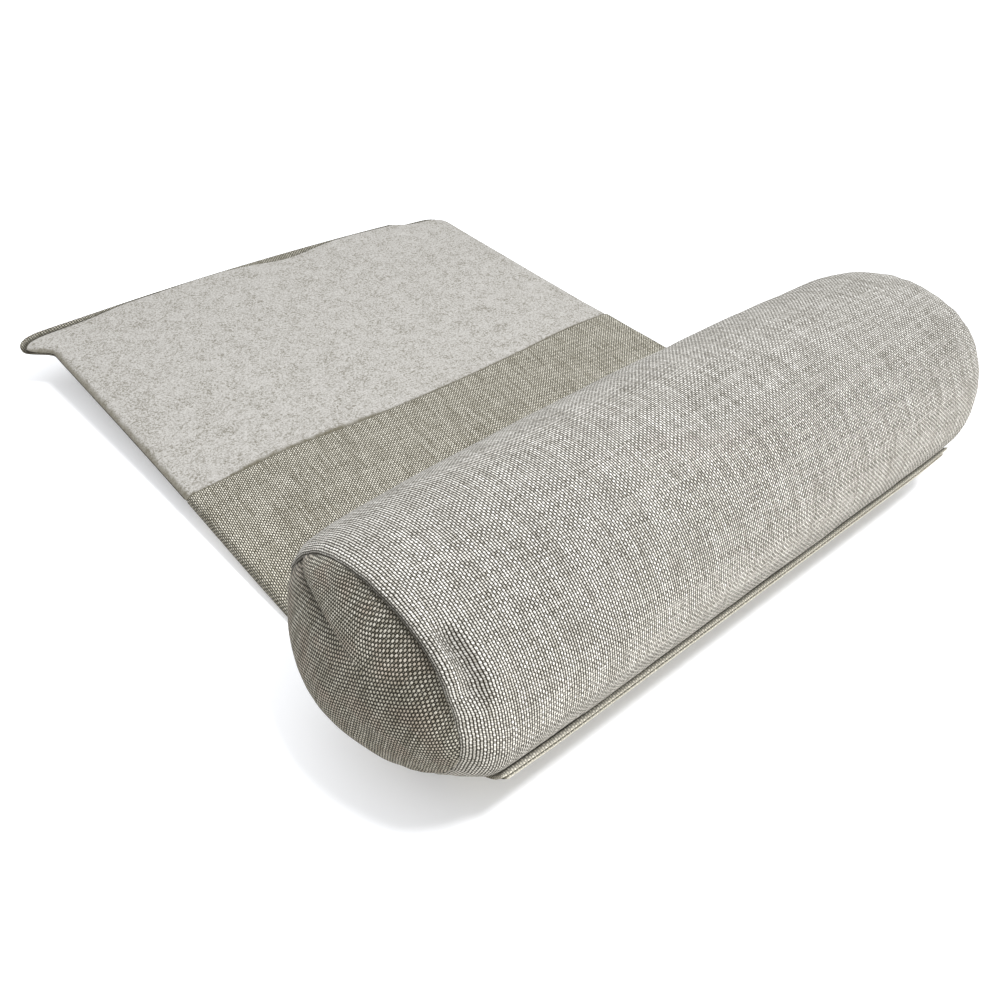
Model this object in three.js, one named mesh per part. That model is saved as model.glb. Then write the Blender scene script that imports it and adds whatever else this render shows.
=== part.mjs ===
// Neck pillow: a firmly stuffed bolster lying on a long flat flap that hangs over a backrest as its
// counterweight. The flap is a woven back panel and a woven strip sewn together, and its far half is
// a felt pocket that is open along the far edge.
// Millimetres, +Z up. X runs along the bolster and Y runs from the bolster to the pocket's mouth.
// The origin is on the floor, below the middle of the bolster.
import * as THREE from 'three';

const SEAM_GAP = 0.3;

// The bolster. Each row is a section across it: its place from one end seam (-1) to the other (1),
// the half width and half height of its oval, the oval's centre, and its lean towards the flap.
const ROLL_HALF_LENGTH = 278;
const ROLL_BOTTOM = 6.1;
const ROLL_SECTIONS = [
  { place: -1.0, halfWidth: 89, halfHeight: 71, centreY: -5, centreZ: 95, leanDeg: 14 },
  { place: -0.96, halfWidth: 94, halfHeight: 75, centreY: -3, centreZ: 93, leanDeg: 12 },
  { place: -0.85, halfWidth: 96.5, halfHeight: 79, centreY: -1, centreZ: 90, leanDeg: 8 },
  { place: -0.5, halfWidth: 98, halfHeight: 83, centreY: 0, centreZ: 89, leanDeg: 3 },
  { place: 0.0, halfWidth: 99, halfHeight: 85, centreY: 0, centreZ: 89, leanDeg: 0 },
  { place: 0.5, halfWidth: 98.5, halfHeight: 84, centreY: 0, centreZ: 89, leanDeg: 0 },
  { place: 0.85, halfWidth: 97, halfHeight: 80, centreY: 0, centreZ: 90, leanDeg: 2 },
  { place: 0.96, halfWidth: 94, halfHeight: 75, centreY: 0, centreZ: 92, leanDeg: 3 },
  { place: 1.0, halfWidth: 88, halfHeight: 71, centreY: 0, centreZ: 93, leanDeg: 4 },
];
const ROLL_AROUND = 56;
const ROLL_STATIONS = 24;
const STATION_CROWDING = 0.45;

// The end panels: soft domes sewn inside the rim of the wrap.
const PANEL_INSET = 1.5;
const PANEL_DEPTH_LEFT = 27;
const PANEL_DEPTH_RIGHT = 19;
const PANEL_FULLNESS = 1.6;
const PANEL_RINGS = 8;

// The gathered fold in the left end panel, from its rim at the back of the top down the dome.
const FOLD_ANGLE_DEG = 48;
const FOLD_DEPTH = 4;
const FOLD_WIDTH_DEG = 9;
const FOLD_START_DEPTH = 8;
const FOLD_FADE = { from: 0.35, to: 0.8 };

// The flap and the path that its underside follows, from its front lip to the pocket's mouth.
const FLAP_HALF_WIDTH = 251.5;
const FLAP_BULGE = 3.5;
const FLAP_BULGE_Y = 150;
const BACK_THICKNESS = 2.7;
const STRIP_THIN = 2.8;
const STRIP_THICK = 6.0;
const STRIP_SWELL_START = 95;
const STRIP_SWELL_END = 150;
const LIP_ANGLE_DEG = 208;
const FLOOR_ANGLE_DEG = 262;
const LIP_SHARE = 0.36;
const LIP_DRAWN_IN_FROM = 190;
const LIP_DRAWN_IN = { atLip: 0.25, below: 0.8 };
const RAMP_START_Y = 100;
const RAMP_SLOPE = 0.085;
const RAMP_BLEND = 30;
const EDGE_ROUND = 9;
const EDGE_WALL = 0.8;

// Columns across the flap, as distances in from a side edge. The last one is the middle.
const COLUMN_INSETS = [0, 1.5, 4.5, 9, 22, 45, 80, 130, 190, FLAP_HALF_WIDTH];
const COLUMNS = 2 * (COLUMN_INSETS.length - 1);
const ROWS_TO_SEAM = 24;
const ROWS_TO_MOUTH = 14;
const MOUTH_CROWDING = 1.6;

// The seam that joins the woven strip to the felt wanders a little.
const SEAM_Y = 305;
const SEAM_WAVES = [
  { x: -150, width: 60, rise: 5 },
  { x: 10, width: 110, rise: -3 },
  { x: 190, width: 50, rise: 3 },
];

// The mouth's edge is bowed, with a step near its right end and rounded corners.
const MOUTH_Y = 636;
const MOUTH_BOW = 8;
const MOUTH_BOW_MIDDLE = -60;
const MOUTH_BOW_REACH = 200;
const MOUTH_STEP_X = 196;
const MOUTH_STEP = 9;
const MOUTH_STEP_REACH = 10;
const CORNER_RADIUS = 22;

// The felt pocket front, with its edge set back from the back panel's.
const FELT_THICKNESS = 3;
const FELT_SIDE_LIFT = 0.8;
const FELT_CROWN = 2.5;
const FELT_SEAM_LIFT = 2;
const FELT_SEAM_BLEND = 45;
const FELT_SETBACK = 12;
const FELT_NOTCH = 7;
const FELT_NOTCH_X = 35;
const FELT_NOTCH_REACH = 45;

// The flared ear at the left mouth corner.
const EAR_FLARE = 22;
const EAR_START_Y = 578;
const EAR_FULL_Y = 604;
const EAR_INNER = 60;

const cloth = (color, roughness) =>
  new THREE.MeshStandardMaterial({ color, roughness, metalness: 0 });
const WOVEN = cloth(0xb4b0a4, 0.95);
const FELT = cloth(0xc4c1ba, 1.0);

const radians = THREE.MathUtils.degToRad;
const { lerp, clamp, smoothstep } = THREE.MathUtils;

// A closed body from a top and a bottom grid of points with the same rows and columns. Both grids
// are split along the same diagonals, so that two bodies stacked on one grid stay evenly apart.
function slab(rows, columns, topPoint, bottomPoint) {
  const positions = [];
  const indices = [];
  const perGrid = (rows + 1) * (columns + 1);
  for (const point of [topPoint, bottomPoint]) {
    for (let row = 0; row <= rows; row += 1) {
      for (let column = 0; column <= columns; column += 1) {
        positions.push(...point(row / rows, column / columns).toArray());
      }
    }
  }
  const at = (grid, row, column) => grid * perGrid + row * (columns + 1) + column;
  const quad = (a, b, c, d) => indices.push(a, b, c, a, c, d);
  for (let row = 0; row < rows; row += 1) {
    for (let column = 0; column < columns; column += 1) {
      const [r, c] = [row + 1, column + 1];
      quad(at(0, row, column), at(0, row, c), at(0, r, c), at(0, r, column));
      quad(at(1, row, column), at(1, r, column), at(1, r, c), at(1, row, c));
    }
    quad(at(0, row, 0), at(0, row + 1, 0), at(1, row + 1, 0), at(1, row, 0));
    quad(at(0, row + 1, columns), at(0, row, columns), at(1, row, columns), at(1, row + 1, columns));
  }
  for (let column = 0; column < columns; column += 1) {
    quad(at(0, 0, column + 1), at(0, 0, column), at(1, 0, column), at(1, 0, column + 1));
    quad(at(0, rows, column), at(0, rows, column + 1), at(1, rows, column + 1), at(1, rows, column));
  }
  return indexed(positions, indices);
}

// A closed body through a row of rings, with a fan at each end.
function loft(rings) {
  const around = rings[0].length;
  const positions = rings.flat().flatMap((point) => point.toArray());
  const indices = [];
  for (let ring = 0; ring < rings.length - 1; ring += 1) {
    for (let i = 0; i < around; i += 1) {
      const next = (i + 1) % around;
      const [a, b] = [ring * around + i, ring * around + next];
      indices.push(a, b, b + around, a, b + around, a + around);
    }
  }
  for (const [ring, turn] of [[0, 1], [rings.length - 1, -1]]) {
    const hub = positions.length / 3;
    const centre = new THREE.Vector3();
    rings[ring].forEach((point) => centre.addScaledVector(point, 1 / around));
    positions.push(...centre.toArray());
    for (let i = 0; i < around; i += 1) {
      const edge = [ring * around + i, ring * around + ((i + 1) % around)];
      indices.push(hub, ...(turn > 0 ? edge.reverse() : edge));
    }
  }
  return indexed(positions, indices);
}

function indexed(positions, indices) {
  const geometry = new THREE.BufferGeometry();
  geometry.setAttribute('position', new THREE.Float32BufferAttribute(positions, 3));
  geometry.setIndex(indices);
  geometry.computeVertexNormals();
  return geometry;
}

// The bolster's oval at a place between its end seams, blended smoothly between the table's rows.
function rollSection(place) {
  const upper = Math.max(1, ROLL_SECTIONS.findIndex((row) => row.place >= place));
  const [from, to] = [ROLL_SECTIONS[upper - 1], ROLL_SECTIONS[upper]];
  const before = ROLL_SECTIONS[Math.max(0, upper - 2)];
  const after = ROLL_SECTIONS[Math.min(ROLL_SECTIONS.length - 1, upper + 1)];
  const step = to.place - from.place;
  const t = clamp((place - from.place) / step, 0, 1);
  const section = {};
  for (const key of ['halfWidth', 'halfHeight', 'centreY', 'centreZ', 'leanDeg']) {
    const startSlope = (step * (to[key] - before[key])) / (to.place - before.place);
    const endSlope = (step * (after[key] - from[key])) / (after.place - from.place);
    section[key] = (1 + 2 * t) * (1 - t) ** 2 * from[key] + t * (1 - t) ** 2 * startSlope
      + t * t * (3 - 2 * t) * to[key] + t * t * (t - 1) * endSlope;
  }
  return section;
}

// A point of the oval, grown by an offset. Angle 0 points to the flap, 90 up and 180 to the front.
function ovalPoint(section, angleDeg, grow = 0) {
  const angle = radians(angleDeg);
  const lean = radians(-section.leanDeg);
  const across = (section.halfWidth + grow) * Math.cos(angle);
  const up = (section.halfHeight + grow) * Math.sin(angle);
  return {
    y: section.centreY + across * Math.cos(lean) - up * Math.sin(lean),
    z: section.centreZ + across * Math.sin(lean) + up * Math.cos(lean),
  };
}

function rollRing(x, section, grow = 0) {
  return Array.from({ length: ROLL_AROUND }, (_, i) => {
    const { y, z } = ovalPoint(section, (360 * i) / ROLL_AROUND, grow);
    return new THREE.Vector3(x, y, Math.max(z, ROLL_BOTTOM));
  });
}

// The stuffed wrap: stations crowd towards the end seams, where the cloth turns in.
function rollWrap() {
  const rings = [];
  for (let i = 0; i <= ROLL_STATIONS; i += 1) {
    const even = (2 * i) / ROLL_STATIONS - 1;
    const place = lerp(even, Math.sin((even * Math.PI) / 2), STATION_CROWDING);
    rings.push(rollRing(place * ROLL_HALF_LENGTH, rollSection(place)));
  }
  return loft(rings);
}

// An end panel: rings shrink from the rim to the dome's tip, flattened off on the wrap's end face.
function endPanel(side, depth, hasFold) {
  const rim = rollSection(side);
  const baseX = side * (ROLL_HALF_LENGTH + SEAM_GAP);
  const rings = [];
  for (let i = 0; i < PANEL_RINGS; i += 1) {
    const turn = (i / PANEL_RINGS) * (Math.PI / 2);
    const shrink = Math.cos(turn) ** (2 / PANEL_FULLNESS);
    const out = depth * Math.sin(turn) ** (2 / PANEL_FULLNESS);
    rings.push(rollRing(0, rim, -PANEL_INSET).map((point, index) => {
      const fromCentre = new THREE.Vector2(point.y - rim.centreY, point.z - rim.centreZ);
      fromCentre.multiplyScalar(shrink);
      const angleDeg = (360 * index) / ROLL_AROUND;
      const across = (angleDeg - FOLD_ANGLE_DEG) / FOLD_WIDTH_DEG;
      const fade = smoothstep(out, 1, FOLD_START_DEPTH)
        * smoothstep(shrink, FOLD_FADE.from, FOLD_FADE.to);
      const dent = hasFold ? FOLD_DEPTH * fade * Math.exp(-across * across) : 0;
      return new THREE.Vector3(baseX + side * (out - dent),
        rim.centreY + fromCentre.x, rim.centreZ + fromCentre.y);
    }));
  }
  return loft(side > 0 ? rings : rings.reverse());
}

// How far the flap's underside has risen from the floor at a distance behind the bolster.
function rampHeight(y) {
  const past = y - RAMP_START_Y;
  if (past <= -RAMP_BLEND) return 0;
  if (past >= RAMP_BLEND) return RAMP_SLOPE * past;
  return (RAMP_SLOPE * (past + RAMP_BLEND) ** 2) / (4 * RAMP_BLEND);
}

const bell = (value, middle, reach) => Math.exp(-(((value - middle) / reach) ** 2));

function seamY(x) {
  return SEAM_WAVES.reduce((y, wave) => y + wave.rise * bell(x, wave.x, wave.width), SEAM_Y);
}

function mouthY(x) {
  const bow = MOUTH_BOW * ((x - MOUTH_BOW_MIDDLE) / MOUTH_BOW_REACH) ** 2;
  const step = MOUTH_STEP * smoothstep(
    x, MOUTH_STEP_X - MOUTH_STEP_REACH, MOUTH_STEP_X + MOUTH_STEP_REACH);
  const past = Math.max(0, CORNER_RADIUS - (FLAP_HALF_WIDTH - Math.abs(x)));
  const corner = CORNER_RADIUS - Math.sqrt(CORNER_RADIUS ** 2 - past ** 2);
  return MOUTH_Y - bow - step - corner;
}

// The distance across the flap of a column, before its sides bulge or flare.
function acrossFlap(share) {
  const column = Math.round(share * COLUMNS);
  const inset = COLUMN_INSETS[Math.min(column, COLUMNS - column)];
  return Math.sign(column - COLUMNS / 2) * (FLAP_HALF_WIDTH - inset);
}

// The sides bulge a little behind the bolster, and the left mouth corner flares like an ear.
function sideways(x, y) {
  const bulge = (FLAP_BULGE * bell(y, FLAP_BULGE_Y, FLAP_BULGE_Y) * x) / FLAP_HALF_WIDTH;
  const atLeft = smoothstep(-x, FLAP_HALF_WIDTH - EAR_INNER, FLAP_HALF_WIDTH);
  return x + bulge - EAR_FLARE * atLeft * smoothstep(y, EAR_START_Y, EAR_FULL_Y);
}

// The drop of a rounded edge at a place across the flap, from 0 inside to 1 at the very edge.
function edgeDrop(x) {
  const inside = FLAP_HALF_WIDTH - Math.abs(x);
  const t = clamp(1 - inside / EDGE_ROUND, 0, 1);
  return 1 - Math.sqrt(1 - t * t);
}

// The oval that the cloth before the bolster follows: the bolster's middle one, so that the lip is
// straight, drawn in at the flap's sides and more so below the lip.
function lipSection(x, travel) {
  const middle = rollSection(0);
  const here = rollSection(x / ROLL_HALF_LENGTH);
  const below = smoothstep(travel, 0, LIP_SHARE / 2);
  const follow = smoothstep(Math.abs(x), LIP_DRAWN_IN_FROM, FLAP_HALF_WIDTH)
    * lerp(LIP_DRAWN_IN.atLip, LIP_DRAWN_IN.below, below);
  const section = {};
  for (const key of Object.keys(middle)) {
    section[key] = lerp(middle[key], here[key], follow);
  }
  return section;
}

// The cloth from the lip to the seam, a given height above the flap's underside. It follows the
// bolster down to the floor, runs flat below it and rises on the ramp.
function underRoll(x, travel, height) {
  const section = lipSection(x, travel);
  if (travel < LIP_SHARE) {
    const angle = lerp(LIP_ANGLE_DEG, FLOOR_ANGLE_DEG, travel / LIP_SHARE);
    const { y, z } = ovalPoint(section, angle, ROLL_BOTTOM - height);
    const landing = smoothstep(travel, LIP_SHARE / 2, LIP_SHARE);
    return new THREE.Vector3(sideways(x, y), y, lerp(Math.max(z, height), height, landing));
  }
  const floorStart = ovalPoint(section, FLOOR_ANGLE_DEG, ROLL_BOTTOM - height);
  const y = lerp(floorStart.y, seamY(x), (travel - LIP_SHARE) / (1 - LIP_SHARE));
  return new THREE.Vector3(sideways(x, y), y, rampHeight(y) + height);
}

// The cloth from the seam to the mouth, with rows that crowd towards the mouth.
function alongPocket(x, travel, height, start, end) {
  const y = lerp(start, end, 1 - (1 - travel) ** MOUTH_CROWDING);
  return new THREE.Vector3(sideways(x, y), y, rampHeight(y) + height(y));
}

// The back panel: the whole underside, from the lip to the pocket's mouth.
function flapBack() {
  const rows = ROWS_TO_SEAM + ROWS_TO_MOUTH;
  const underShare = ROWS_TO_SEAM / rows;
  const place = (height) => (travel, share) => {
    const x = acrossFlap(share);
    if (travel <= underShare) return underRoll(x, travel / underShare, height);
    const past = (travel - underShare) / (1 - underShare);
    return alongPocket(x, past, () => height, seamY(x), mouthY(x));
  };
  return slab(rows, COLUMNS, place(BACK_THICKNESS), place(0));
}

// The woven strip: the flap's upper layer, from the lip under the bolster to the felt's seam. It
// is thicker behind the bolster, where nothing presses on it, and its sides are rounded down.
function stripTop() {
  const lower = BACK_THICKNESS + SEAM_GAP;
  const bottom = (travel, share) => underRoll(acrossFlap(share), travel, lower);
  const top = (travel, share) => {
    const x = acrossFlap(share);
    const { y } = underRoll(x, travel, lower);
    const swell = smoothstep(y, STRIP_SWELL_START, STRIP_SWELL_END);
    const thickness = lerp(STRIP_THIN, STRIP_THICK, swell);
    return underRoll(x, travel, lower + lerp(thickness, EDGE_WALL, edgeDrop(x)));
  };
  return slab(ROWS_TO_SEAM, COLUMNS, top, bottom);
}

// The felt pocket front: low at its seam and sides, with a shallow crown towards the mouth.
function pocketFront() {
  const floor = BACK_THICKNESS + SEAM_GAP;
  const place = (isTop) => (travel, share) => {
    const x = acrossFlap(share);
    const middle = 1 - (x / FLAP_HALF_WIDTH) ** 2;
    const start = seamY(x) + SEAM_GAP;
    const setback = FELT_SETBACK + FELT_NOTCH * bell(x, FELT_NOTCH_X, FELT_NOTCH_REACH);
    const height = (y) => {
      const open = smoothstep(y, start, start + FELT_SEAM_BLEND);
      const lift = lerp(FELT_SEAM_LIFT, FELT_SIDE_LIFT + FELT_CROWN * middle, open);
      const under = lift * (1 - edgeDrop(x));
      const over = lerp(lift + FELT_THICKNESS, EDGE_WALL, edgeDrop(x));
      return floor + (isTop ? over : under);
    };
    return alongPocket(x, travel, height, start, mouthY(x) - setback);
  };
  return slab(ROWS_TO_MOUTH, COLUMNS, place(true), place(false));
}

const group = new THREE.Group();
const pieces = [
  ['roll_wrap', rollWrap(), WOVEN],
  ['end_panel_left', endPanel(-1, PANEL_DEPTH_LEFT, true), WOVEN],
  ['end_panel_right', endPanel(1, PANEL_DEPTH_RIGHT, false), WOVEN],
  ['flap_back', flapBack(), WOVEN],
  ['strip_top', stripTop(), WOVEN],
  ['pocket_front', pocketFront(), FELT],
];
for (const [name, geometry, material] of pieces) {
  const mesh = new THREE.Mesh(geometry, material);
  mesh.name = name;
  group.add(mesh);
}

export default group;
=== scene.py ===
"""The looks of the neck pillow: a stuffed bolster lying on a flap of woven cloth with a felt pocket.

Each piece of cloth starts as a flat grid, keeps its flat place in its UV map, so that the weave
follows the cut, and is then bent to its form. Shapes are worked out in millimetres and degrees, as in
the part's source, and stored in metres.
"""
import math

import bmesh
import bpy
import numpy as np
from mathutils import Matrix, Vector, noise


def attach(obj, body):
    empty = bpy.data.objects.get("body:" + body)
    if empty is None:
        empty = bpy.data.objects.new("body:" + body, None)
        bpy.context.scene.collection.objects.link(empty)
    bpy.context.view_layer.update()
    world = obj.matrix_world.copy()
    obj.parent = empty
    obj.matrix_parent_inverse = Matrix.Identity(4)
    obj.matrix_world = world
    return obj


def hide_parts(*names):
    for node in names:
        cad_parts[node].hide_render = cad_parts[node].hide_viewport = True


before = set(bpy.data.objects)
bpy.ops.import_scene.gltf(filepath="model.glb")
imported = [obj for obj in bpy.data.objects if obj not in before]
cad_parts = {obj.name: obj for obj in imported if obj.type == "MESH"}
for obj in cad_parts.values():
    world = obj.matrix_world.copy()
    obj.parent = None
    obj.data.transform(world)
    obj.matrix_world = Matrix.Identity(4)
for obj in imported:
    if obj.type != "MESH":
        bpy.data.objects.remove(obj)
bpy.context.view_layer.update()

MM = 0.001
MERGE_WITHIN = 2e-6

# The bolster, as in the part's source: ovals at places between its end seams.
ROLL_HALF_LENGTH = 278
ROLL_BOTTOM = 6.1
SECTION_COLUMNS = ("place", "half_width", "half_height", "centre_y", "centre_z", "lean_deg")
ROLL_SECTIONS = np.array([
    (-1.0, 89, 71, -5, 95, 14),
    (-0.96, 94, 75, -3, 93, 12),
    (-0.85, 96.5, 79, -1, 90, 8),
    (-0.5, 98, 83, 0, 89, 3),
    (0.0, 99, 85, 0, 89, 0),
    (0.5, 98.5, 84, 0, 89, 0),
    (0.85, 97, 80, 0, 90, 2),
    (0.96, 94, 75, 0, 92, 3),
    (1.0, 88, 71, 0, 93, 4),
])

# The wrap's grid, and how far its stations crowd towards the ends.
ROLL_STATIONS = 190
ROLL_AROUND = 240
STATION_CROWDING = 0.5

# The wrap's ends turn in over a small radius, and a hem runs on inwards and back behind the panels.
WRAP_TURN_IN = 2.6
WRAP_TURN_STEPS = 8
WRAP_HEM = 8
WRAP_HEM_BACK = 2.5
WRAP_HEM_STEPS = 3
WRAP_STRAIGHT = ROLL_HALF_LENGTH - WRAP_TURN_IN

# Bands round the bolster or across the flap: where a change sets in, and where it is over.
LIP_PRESS_BAND = ((170, 204), (246, 266))
LIP_PRESS_FADES_X = (246, 276)
SEAM_SOFT_BAND = ((140, 175), (262, 285))
END_DROP_BAND = ((135, 172), (240, 262))
PANEL_FLAT_BAND = ((80, 112), (165, 200))
PANEL_SHADE_BAND = ((70, 95), (165, 190))
FELT_FRAYED_BAND = ((-215, -185), (-75, -45))

# The end seams: how soft they are low at the front, how dark their painted shade is, and how far the
# roll's ends drop there.
SEAM_SOFTNESS = 0.8
SEAM_DARKNESS = 0.85
WRAP_SEAM_SHADE = (0.3, 0.75)
END_DROP = 3.2
END_DROP_REACH = 26

# Puckers and gathers: how far puckers run in, and the ring in the noise from which both are taken.
PUCKER_REACH = 15
RING_RADIUS = 60
PUCKERS_BESIDE = 30
GATHERS_BESIDE = 50

# Creases and ridges of the wrap near its left seam: x, angle, the reach of both, and their rise.
WRAP_CREASES = (
    (-273, 146, 4.5, 13, 3.2),
    (-262, 150, 6.5, 12, -4.3),
    (-263, 141, 7, 5.5, -3.2),
    (-266, 164, 7, 6.5, -3.3),
    (-249, 156, 8, 9, 1.8),
    (-270, 118, 6, 10, 1.2),
)
# How dark the creases' painted shade is, for each millimetre that they sink in.
CREASE_DARKNESS = 0.07

# The unevenness of each cloth in layers: the rise of its lumps, their size, and the noise's seed.
WRAP_LUMPS = ((0.7, 55, 0), (0.3, 24, 3))
WRAP_PUCKERS = ((1.0, 7.0, 5),)
PANEL_LUMPS = ((1.0, 34, 2), (0.4, 14, 4))
PANEL_GATHERS = ((1.5, 9, 7),)
STRIP_LUMPS = ((0.5, 50, 9), (0.2, 16, 12))
FELT_LUMPS = ((0.5, 60, 15), (0.25, 20, 18))
FELT_RAGS = ((1.6, 5, 21), (1.0, 2.5, 22))

# The end panels: domes sewn inside the wrap's rim, and sunk a little into its turned-in end.
PANEL_DEPTH_LEFT = 27
PANEL_DEPTH_RIGHT = 19
PANEL_INSET = 1.8
PANEL_INSET_SOFT = 0.4
PANEL_SUNK = 2.0
PANEL_FULLNESS = 1.6
PANEL_RINGS = 84
PANEL_AROUND = 336
PANEL_FACE_FROM = 9
PANEL_SEAM_SHADE = (0.8, 3.2)
PANEL_GATHERS_AT = (0.93, 0.06)

# The left panel sags into a belly low towards the flap, is flat beside its front seam, and gets painted
# shade beside its upper seam, where the turned-in rim shades it. Places from the dome's
# middle to its rim are shares, each with its reach.
BELLY = 6.0
BELLY_ANGLE = 318
BELLY_NARROWING = 1.5
PANEL_FLATTENED = 0.85
PANEL_FLAT_AT = (1.0, 0.13)
PANEL_SHADE_AT = (0.9, 0.16)
PANEL_SHADE_DARKNESS = 0.34

# The left panel's pleat: its upper cloth overlaps the lower along this line of (y, z). The lower cloth
# is sunk under the pleat's edge and comes back further down, and the edge stands up as a rim.
FOLD_LINE = np.array([
    (-60, 116), (-40, 123), (-17, 130), (-2, 134), (12, 137.5),
    (27, 139.5), (41, 139), (51, 140), (60, 143), (80, 150),
])
FOLD_TOP_Y = 60
FOLD_STRENGTH_Y = (-30, 38)
FOLD_START_OUT = 4
FOLD_SUNK = 7.0
FOLD_EDGE = (-0.6, 1.8)
FOLD_REACH = 17
FOLD_RIM = 1.5
FOLD_RIM_AT = (-5, 5)
FOLD_DARKNESS = 0.85
FOLD_SHADE_Y = (-14, 30)
FOLD_SHADE_BAND = ((-1.2, 0.6), (6, 14))

# How the panels' cloth is cut: the dome takes up more of it towards the rim, and its threads run at
# this slant. Above the left panel's pleat they are gathered, and beside it they follow its edge.
GRAIN_DEG = 21
DOME_TAKE_UP = 0.12
GATHER_STRENGTH_Y = (-40, 30)
GATHERED = 9
GATHERED_REACH = 16
FOLLOW_SLOPE = 0.42
FOLLOW_REACH = 22
LOBE_SLOPE = 0.55
LOBE_REACH = 30

# The flap, as in the part's source.
FLAP_HALF_WIDTH = 251.5
FLAP_BULGE = 3.5
FLAP_BULGE_Y = 150
SEAM_GAP = 0.3
BACK_THICKNESS = 2.7
ON_BACK = BACK_THICKNESS + SEAM_GAP
STRIP_THIN = 2.8
STRIP_THICK = 6.0
STRIP_SWELL = (95, 150)
LIP_ANGLE = 208
FLOOR_ANGLE = 262
LIP_SHARE = 0.36
LIP_SAMPLES = 800
LIP_DRAWN_IN_FROM = 190
LIP_DRAWN_IN = (0.25, 0.8)
RAMP_START_Y = 100
RAMP_SLOPE = 0.085
RAMP_BLEND = 30
SEAM_Y = 305
SEAM_WAVES = ((-150, 60, 5), (10, 110, -3), (190, 50, 3))
MOUTH_Y = 636
MOUTH_BOW = 8
MOUTH_BOW_MIDDLE = -60
MOUTH_BOW_REACH = 200
MOUTH_STEP_X = 196
MOUTH_STEP = 9
MOUTH_STEP_REACH = 10
CORNER_RADIUS = 22
FELT_THICKNESS = 3
FELT_SIDE_LIFT = 0.8
FELT_CROWN = 2.5
FELT_SEAM_LIFT = 2
FELT_SEAM_BLEND = 45
FELT_SETBACK = 12
EAR_FLARE = 22
EAR_START_Y = 578
EAR_FULL_Y = 604
EAR_INNER = 60

# The felt is drawn back more at its notch (x, reach, depth) and by the ear than in the source.
FELT_NOTCH = (35, 45, 13)
EAR_NOTCH = 5
EAR_NOTCH_X = (150, 215)

# The strip's turned edges: radii, how far its hem reaches in and down, and the weave's slant and
# spread over its thick part.
SIDE_ROUND = 8.0
LIP_ROUND = 2.4
SEAM_ROUND = 3.0
HEM_REACH = 6.0
HEM_HEIGHT = 0.4
STRIP_SKEW = 0.11
STRIP_SPREAD = 0.05
STRIP_LUMPS_FROM_Y = 90
STRIP_SIDE_SHADE = 0.35
STRIP_SIDE_SHADE_IN = (0.5, 7)

# Painted light on the lip: its cloth is made paler near the fold, where the bolster's overhang shades
# it.
LIP_PAINTED_LIGHT = 0.3
LIP_PAINTED_LIGHT_ALONG = (8, 15)

# The back panel: how far it is set in under the strip, its edges, its painted shade under the felt's
# mouth and on its edges, and its painted light on the lip.
BACK_SETBACK = 4.5
BACK_FREED = (-8, 6)
BACK_SIDE_ROUND = 1.6
BACK_END_ROUND = 1.4
MOUTH_SHADE = 0.9
MOUTH_SHADE_PAST = (7, 12)
BACK_EDGE_SHADE = 0.45
BACK_LIP_PAINTED_LIGHT = 0.7
BACK_LIP_PAINTED_LIGHT_ALONG = (6, 12)

# The felt's edges, and how dark their painted shade is: its sides all along, where they turn down, and
# its seam, where it is frayed wider.
FELT_SIDE_ROUND = 8.0
FELT_SEAM_ROUND = 4.5
FELT_MOUTH_ROUND = 2.4
FELT_SIDE_DARKNESS = 0.8
FELT_SIDE_SHADE_IN = (1.2, 5.5)
FELT_SEAM_SHADE = (0.6, 1.8)
FELT_FRAYED_SHADE = 3.2

# Where an edge's two faces meet, from the under face to the upper: half way, or low where the cloth is
# turned down.
EVEN_EDGE = 0.5
TURNED_DOWN_EDGE = 0.12

# How the flap's grids are spaced: insets from a side or end edge, then even steps between.
SIDE_INSETS = (0, 0.08, 0.3, 0.7, 1.25, 2.0, 2.9, 4.0, 5.4, 7.0, 9.0, 11.5)
COLUMN_STEP = 6.0
END_INSETS = (0, 0.12, 0.5, 1.1, 1.9, 2.9, 4.2, 6.0)
ROW_STEP = 4.0

# The weave: the spacing of its threads, how high they stand, the share of that height which is left at
# a float's ends, and how far the threads wander off their course and over what length.
WARP_PITCH = 1.80
WEFT_PITCH = 1.70
YARN_RISE = 0.5
WARP_END = 0.6
WEFT_END = 0.4
YARN_WANDER = 0.9
YARN_WANDER_SIZE = 7.692

# The yarns' tones change over these lengths. Neighbours lie so many lumps of noise apart that they
# have nothing in common, and the warp and the weft lie apart too.
WARP_TONE_RUN = 38.81
WEFT_TONE_RUN = 49.32
YARN_APART = 7.3
WEFT_APART = 5.11

# Specks of fibre on the yarns, drawn coarser than real fibres so that they show, and warm patches.
YARN_SPECK_SIZE = 1.4286
BLUSH_SIZE = 22.22

# The felt's clouds, fibres and dark flecks. Its real fibres are far finer, so they are drawn as tufts.
FELT_CLOUD_SIZE = 14.286
FELT_TUFT_SIZE = 1.7857
FELT_FLECK_SIZE = 2.6316
FELT_NAP = 0.6

# The studio, in metres: its floor, where its sky is brightest, the lamp, which aims at the middle of
# the object, and the camera.
FLOOR_HALF_SIZE = 6
SKY_FRONT = (0.3, -0.8, -0.52)
SKY_OVERHEAD = (0.05, 0.42, 0.9)
LAMP_AIM = (0, 0.15, 0.05)
LAMP_AZIMUTH = 4
LAMP_ELEVATION = 66
LAMP_DISTANCE = 1.8
LAMP_SIZE = 0.38
LAMP_POWER = 28.5
CAMERA_PLACE = (-0.4699, -0.3412, 0.5105)
CAMERA_AZIMUTH = -41.33
CAMERA_ELEVATION = 38.16
CAMERA_LENS = 34.42
CAMERA_SHIFT = (-0.00335, 0.00525)


def smoothstep(value, start, end):
    t = np.clip((value - start) / (end - start), 0, 1)
    return t * t * (3 - 2 * t)


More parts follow.
